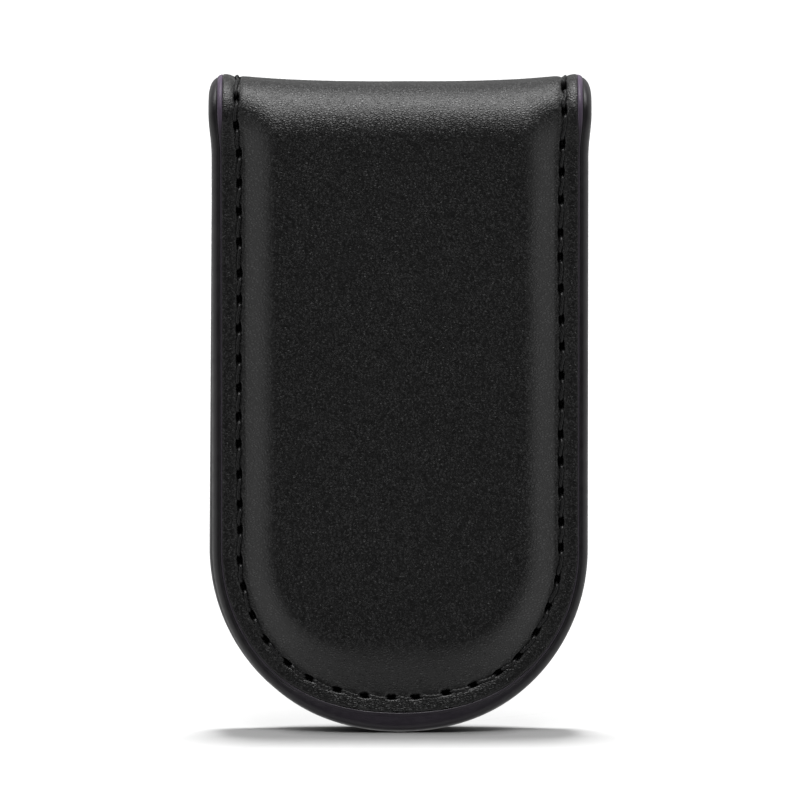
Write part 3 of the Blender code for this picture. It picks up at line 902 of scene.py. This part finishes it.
# %% Finish the sealed parts
def board_finish():
    """Grey brown pressed fibre board."""
    finish, tree, shader = new_finish("pressed_fibre_board")
    where = add_node(tree, "ShaderNodeTexCoord").outputs["Object"]
    fibres = add_node(tree, "ShaderNodeMapping", {"Vector": where, "Scale": (1.0, 1.0, 0.15)})
    strands = noise_node(tree, fibres.outputs[0], 2600.0, 4.0, 0.6)
    shade = mix_colours(tree, strands, (0.16, 0.115, 0.075, 1.0), (0.36, 0.27, 0.18, 1.0))
    tree.links.new(shade, shader.inputs["Base Color"])
    bump = add_node(tree, "ShaderNodeBump", {"Height": strands, "Distance": 0.00005})
    tree.links.new(bump.outputs[0], shader.inputs["Normal"])
    shader.inputs["Roughness"].default_value = 0.85
    return finish


def magnet_finish():
    """Nickel plate with a faint brushed turn."""
    finish, tree, shader = new_finish("nickel_plate")
    where = add_node(tree, "ShaderNodeTexCoord").outputs["Object"]
    marks = noise_node(tree, where, 1800.0, 3.0)
    shader.inputs["Base Color"].default_value = (0.64, 0.62, 0.58, 1.0)
    shader.inputs["Metallic"].default_value = 1.0
    tree.links.new(range_node(tree, marks, 0.3, 0.7, 0.18, 0.32), shader.inputs["Roughness"])
    bump = add_node(tree, "ShaderNodeBump", {"Height": marks, "Distance": 0.00001})
    tree.links.new(bump.outputs[0], shader.inputs["Normal"])
    return finish


board = board_finish()
plate = magnet_finish()
for leaf in ("front", "back"):
    for label, finish in (("_insert_board", board), ("_upper_magnet", plate),
                          ("_lower_magnet", plate)):
        frame["nodes"][leaf + label].data.materials.clear()
        frame["nodes"][leaf + label].data.materials.append(finish)

# %% [markdown]
# ## Floor, light and camera
# The clip stands on white paper that runs to the horizon. Black leather has hardly any
# colour of its own: what we see is what it reflects. So the studio is bright all round
# but for a dark card in front of each flat face. A soft box, high in front, draws the
# highlight along the fold, and a light almost overhead lays the short soft shadow in
# front of the clip; painted shade in the paper deepens it right at the clip.
# A long lens keeps the sides parallel.

# %% Lay the floor
PAPER_SHADES = ((0.255, 0.255, 0.255, 1.0), (0.265, 0.265, 0.265, 1.0))
CONTACT_SHADE = (0.02, 0.02, 0.02, 1.0)
CONTACT_REACH = 4.0 * MM


def floor_finish():
    """White paper with a trace of tooth, and a painted contact shadow where the clip closes it in."""
    finish, tree, shader = new_finish("white_paper")
    where = add_node(tree, "ShaderNodeTexCoord").outputs["Object"]
    tooth = noise_node(tree, where, 900.0, 2.0)
    paper = mix_colours(tree, tooth, *PAPER_SHADES)
    # Occlusion darkens the paper near the clip: a painted contact shadow.
    open_sky = add_node(tree, "ShaderNodeAmbientOcclusion", {"Distance": CONTACT_REACH})
    shade = mix_colours(tree, open_sky.outputs["AO"], CONTACT_SHADE, paper)
    tree.links.new(shade, shader.inputs["Base Color"])
    shader.inputs["Roughness"].default_value = 0.9
    shader.inputs["Specular IOR Level"].default_value = 0.1
    return finish


bpy.ops.mesh.primitive_plane_add(size=120.0, location=(0.0, 0.0, 0.0))
floor = bpy.context.active_object
floor.name = "studio_floor"
floor.data.materials.append(floor_finish())
floor.visible_glossy = False        # the dark card also stands for the floor in reflections

# %% Light the room
ROOM_LIGHT = 1.0
CARD_LIGHT = 0.04                   # what the dark cards still give back
FRONT_CARD = (0.45, 0.80)           # share of a direction that points at the card
CARD_LEAN = math.radians(15.0)
BACK_CARD = (0.84, 0.97)
BOX_LIGHT = 9.8
BOX_HEIGHT = math.radians(61.5)
BOX_EDGE = (math.cos(math.radians(26.5)), math.cos(math.radians(6.0)))
UNDER_CLIP = (-0.97, -0.75)         # share of a direction that points straight down
UNDER_LIGHT = 0.25                  # the clip shades the floor right under it


def smooth_step(tree, value, low, high, to_low, to_high):
    """Ease a value from one range to another."""
    links = {"Value": value, "From Min": low, "From Max": high,
             "To Min": to_low, "To Max": to_high}
    return add_node(tree, "ShaderNodeMapRange", links,
                    interpolation_type="SMOOTHSTEP").outputs[0]


def light_room():
    """White surroundings, a dark card before each flat face and a soft box in front."""
    world = bpy.data.worlds.new("studio")
    bpy.context.scene.world = world
    world.use_nodes = True
    tree = world.node_tree
    direction = add_node(tree, "ShaderNodeTexCoord").outputs["Generated"]
    parts = add_node(tree, "ShaderNodeSeparateXYZ", {0: direction})
    card = (0.0, -math.cos(CARD_LEAN), math.sin(CARD_LEAN))
    ahead = add_node(tree, "ShaderNodeVectorMath", {0: direction, 1: card},
                     operation="DOT_PRODUCT").outputs["Value"]
    light = math_node(tree, "MINIMUM",
                      smooth_step(tree, ahead, *FRONT_CARD, ROOM_LIGHT, CARD_LIGHT),
                      smooth_step(tree, parts.outputs["Y"], *BACK_CARD, ROOM_LIGHT, CARD_LIGHT))
    aim = (0.0, -math.cos(BOX_HEIGHT), math.sin(BOX_HEIGHT))
    near = add_node(tree, "ShaderNodeVectorMath", {0: direction, 1: aim},
                    operation="DOT_PRODUCT").outputs["Value"]
    box = smooth_step(tree, near, *BOX_EDGE, 0.0, BOX_LIGHT)
    light = math_node(tree, "ADD", light, box)
    under = smooth_step(tree, parts.outputs["Z"], *UNDER_CLIP, UNDER_LIGHT, 1.0)
    light = math_node(tree, "MULTIPLY", light, under)
    seen = add_node(tree, "ShaderNodeLightPath").outputs["Is Camera Ray"]
    strength = math_node(tree, "MAXIMUM", light, seen)
    background = tree.nodes["Background"]
    background.inputs["Color"].default_value = (1.0, 1.0, 1.0, 1.0)
    tree.links.new(strength, background.inputs["Strength"])


light_room()

# %% Hang the top light
TOP_LIGHT = 9.4                     # watts per square metre on the floor
TOP_LIGHT_HEIGHT = math.radians(82.0)
TOP_LIGHT_SIZE = math.radians(12.0)

top_data = bpy.data.lights.new("top_light", "SUN")
top_data.energy = TOP_LIGHT
top_data.angle = TOP_LIGHT_SIZE
top_light = bpy.data.objects.new("top_light", top_data)
top_light.visible_glossy = False    # it lights the paper, and the leather doesn't mirror it
bpy.context.scene.collection.objects.link(top_light)
down = -Vector((0.0, math.cos(TOP_LIGHT_HEIGHT), math.sin(TOP_LIGHT_HEIGHT)))
top_light.rotation_euler = down.to_track_quat("-Z", "Y").to_euler()

# %% Set up the camera
FRAME_WIDTH = 94.80 * MM
AIM_HEIGHT = 39.3 * MM
camera_data = bpy.data.cameras.new("camera")
camera_data.lens = 400.0
camera_data.sensor_width = 36.0
camera = bpy.data.objects.new("camera", camera_data)
bpy.context.scene.collection.objects.link(camera)
distance = FRAME_WIDTH * camera_data.lens / camera_data.sensor_width
tilt = math.radians(4.5)
back = Vector((0.0, -math.cos(tilt), math.sin(tilt)))
camera.location = Vector((0.0, 0.0, AIM_HEIGHT)) + distance * back
camera.rotation_euler = (-back).to_track_quat("-Z", "Y").to_euler()
camera_data.clip_start = 0.05
camera_data.clip_end = 200.0
bpy.context.scene.camera = camera
bpy.context.scene.view_settings.view_transform = "Standard"
print("camera", round(distance, 3), "m away")

# %% [markdown]
# ## Finish
# The last line brings the scene's positions up to date.

# %% Bring the scene up to date
bpy.context.view_layer.update()
